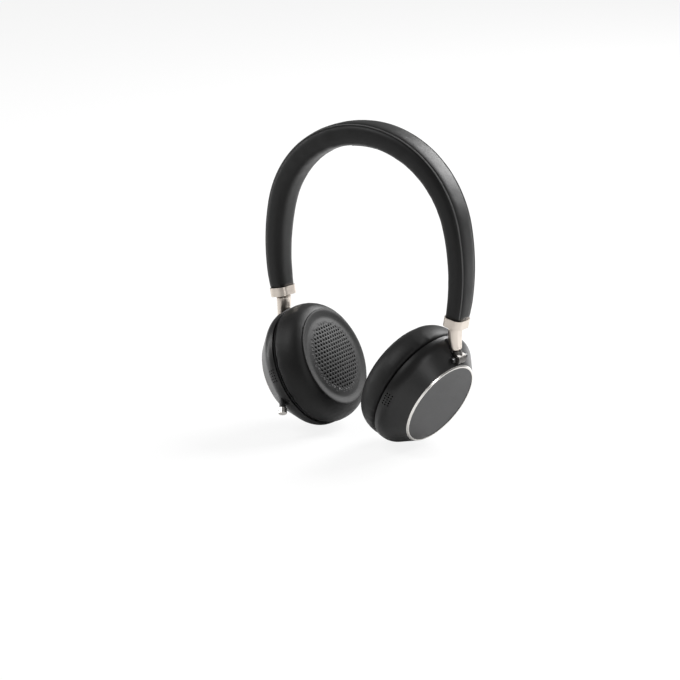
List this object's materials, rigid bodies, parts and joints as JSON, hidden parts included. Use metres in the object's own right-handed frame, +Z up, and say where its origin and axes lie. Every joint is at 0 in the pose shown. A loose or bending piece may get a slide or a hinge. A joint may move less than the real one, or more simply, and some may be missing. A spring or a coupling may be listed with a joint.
{
  "type": "office headset",
  "caption": "Wireless over-the-head office headset: sprung padded band, sliding metal arms, tilting on-ear cups and a retracting microphone boom.",
  "frame": {"origin": "on the underside of the headband's crown, in the middle of its charging plate, where it rests on a head or on a stand's hook", "axes": "+Z up from the wearer's ears to the crown, -Y to the wearer's front, +X to the wearer's left ear cup; metres"},
  "size_m": [0.1418, 0.0762, 0.1858],
  "materials": {
    "leatherette": "satin grain",
    "cushion_leather": "soft satin",
    "pad_foam": "open cell",
    "spring_steel": "brushed",
    "rivet_steel": "plain",
    "cable_jacket": "matte",
    "contact_gold": "polished",
    "black_plastic": "fine texture",
    "champagne_metal": "satin brushed",
    "acetal": "plain",
    "housing_black": "satin",
    "bright_ring": "polished",
    "plate_grey": "diagonal brushed",
    "mesh_black": "perforated",
    "driver_steel": "plain",
    "film": "gloss",
    "board_green": "solder mask",
    "mic_metal": "plain",
    "screw_steel": "plain",
    "battery_wrap": "wrap",
    "usb_steel": "plain",
    "light_guide": "frosted",
    "button_black": "satin",
    "boom_black": "satin",
    "tip_metal": "satin"
  },
  "bodies": {
    "headband": {"band_cover": "leatherette", "band_foam": "pad_foam", "spring_strip": "spring_steel", "spring_rivets": "rivet_steel", "band_cable": "cable_jacket", "charge_plate": "black_plastic", "charge_contacts": "contact_gold", "left_slider_guide": "black_plastic", "right_slider_guide": "black_plastic", "left_collar": "champagne_metal", "right_collar": "champagne_metal"},
    "left_slider": {"left_arm": "champagne_metal", "left_slide_shoe": "acetal", "left_stem_clip": "spring_steel"},
    "right_slider": {"right_arm": "champagne_metal", "right_slide_shoe": "acetal", "right_stem_clip": "spring_steel"},
    "left_swivel": {"left_knuckle": "champagne_metal"},
    "right_swivel": {"right_knuckle": "champagne_metal"},
    "left_cup": {"left_housing": "housing_black", "left_plate_ring": "bright_ring", "left_outer_plate": "plate_grey", "left_baffle": "black_plastic", "left_cushion_ring": "black_plastic", "left_cushion": "cushion_leather", "left_foam_disc": "pad_foam", "left_mesh": "mesh_black", "left_driver_frame": "driver_steel", "left_diaphragm": "film", "left_circuit_board": "board_green", "left_noise_mic": "mic_metal", "left_cup_screws": "screw_steel", "battery": "battery_wrap", "usb_socket": "usb_steel", "status_light": "light_guide"},
    "right_cup": {"right_housing": "housing_black", "right_plate_ring": "bright_ring", "right_outer_plate": "plate_grey", "right_baffle": "black_plastic", "right_cushion_ring": "black_plastic", "right_cushion": "cushion_leather", "right_foam_disc": "pad_foam", "right_mesh": "mesh_black", "right_driver_frame": "driver_steel", "right_diaphragm": "film", "right_circuit_board": "board_green", "right_noise_mic": "mic_metal", "right_cup_screws": "screw_steel", "boom_guide": "black_plastic"},
    "mic_boom": {"boom_arm": "boom_black", "boom_tip": "tip_metal"},
    "power_switch": {"power_slide": "button_black"},
    "anc_key": {"anc_button": "button_black"},
    "volume_up_key": {"volume_up_button": "button_black"},
    "call_key": {"call_button": "button_black"},
    "volume_down_key": {"volume_down_button": "button_black"}
  },
  "joints": [
    {"name": "left_extend", "type": "slide", "parent": "headband", "child": "left_slider", "axis": [-0.061, 0, -0.9981], "range_m": [0, 0.022]},
    {"name": "left_turn", "type": "hinge", "parent": "left_slider", "child": "left_swivel", "pos_m": [0.06351, 0, -0.11699], "axis": [-0.2419, 0, 0.9703], "range_deg": [-15, 15]},
    {"name": "left_tilt", "type": "hinge", "parent": "left_swivel", "child": "left_cup", "pos_m": [0.06351, 0, -0.11699], "axis": [0, -1, 0], "range_deg": [-4, 30]},
    {"name": "right_extend", "type": "slide", "parent": "headband", "child": "right_slider", "axis": [0.061, 0, -0.9981], "range_m": [0, 0.022]},
    {"name": "right_turn", "type": "hinge", "parent": "right_slider", "child": "right_swivel", "pos_m": [-0.06351, 0, -0.11699], "axis": [-0.2419, 0, -0.9703], "range_deg": [-15, 15]},
    {"name": "right_tilt", "type": "hinge", "parent": "right_swivel", "child": "right_cup", "pos_m": [-0.06351, 0, -0.11699], "axis": [0, 1, 0], "range_deg": [-4, 30]},
    {"name": "boom_extend", "type": "hinge", "parent": "right_cup", "child": "mic_boom", "pos_m": [-0.05333, -0.13112, -0.10111], "axis": [-0.8965, -0.0737, -0.4368], "range_deg": [0, 15]},
    {"name": "power_slide_travel", "type": "slide", "parent": "left_cup", "child": "power_switch", "axis": [0.4088, -0.2422, 0.8799], "range_m": [0, 0.0025]},
    {"name": "anc_press", "type": "slide", "parent": "left_cup", "child": "anc_key", "axis": [0.0258, -0.9757, 0.2176], "range_m": [0, 0.0005], "stiffness_N_per_m": 400, "springref_m": -0.0005},
    {"name": "volume_up_press", "type": "slide", "parent": "right_cup", "child": "volume_up_key", "axis": [0.2125, -0.9368, -0.278], "range_m": [0, 0.0005], "stiffness_N_per_m": 400, "springref_m": -0.0005},
    {"name": "call_press", "type": "slide", "parent": "right_cup", "child": "call_key", "axis": [0.0819, -0.9966, 0], "range_m": [0, 0.0005], "stiffness_N_per_m": 400, "springref_m": -0.0005},
    {"name": "volume_down_press", "type": "slide", "parent": "right_cup", "child": "volume_down_key", "axis": [-0.0566, -0.9589, 0.278], "range_m": [0, 0.0005], "stiffness_N_per_m": 400, "springref_m": -0.0005}
  ]
}
